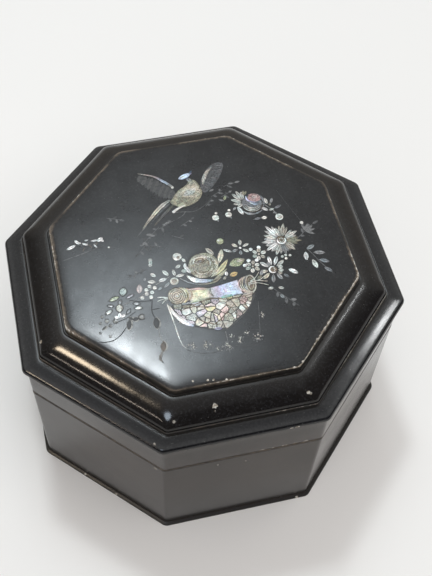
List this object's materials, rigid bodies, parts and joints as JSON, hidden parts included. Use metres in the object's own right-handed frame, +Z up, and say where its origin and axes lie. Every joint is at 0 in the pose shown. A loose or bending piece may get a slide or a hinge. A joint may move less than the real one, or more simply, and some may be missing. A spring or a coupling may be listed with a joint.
{
  "type": "octagonal lacquered box",
  "caption": "Octagonal black lacquered keepsake box with a flush lift-off lid, stepped moulding and a crowned top panel inlaid with shell.",
  "frame": {"origin": "centre of the underside of the foot, on the surface the box stands on", "axes": "+Z up along the box's axis, flat sides facing +X, -X, +Y and -Y, with -Y the front of the picture on the lid"},
  "size_m": [0.2006, 0.2, 0.1182],
  "materials": {
    "body_lacquer": "satin black lacquer over a light wooden carcass, pale ground showing at worn edges",
    "lid_lacquer": "glossy black lacquer over a light wooden carcass, worn edges, shell inlay and painted sprays on the panel"
  },
  "bodies": {
    "root": {"box_body": "body_lacquer", "box_lid": "lid_lacquer"}
  },
  "joints": []
}
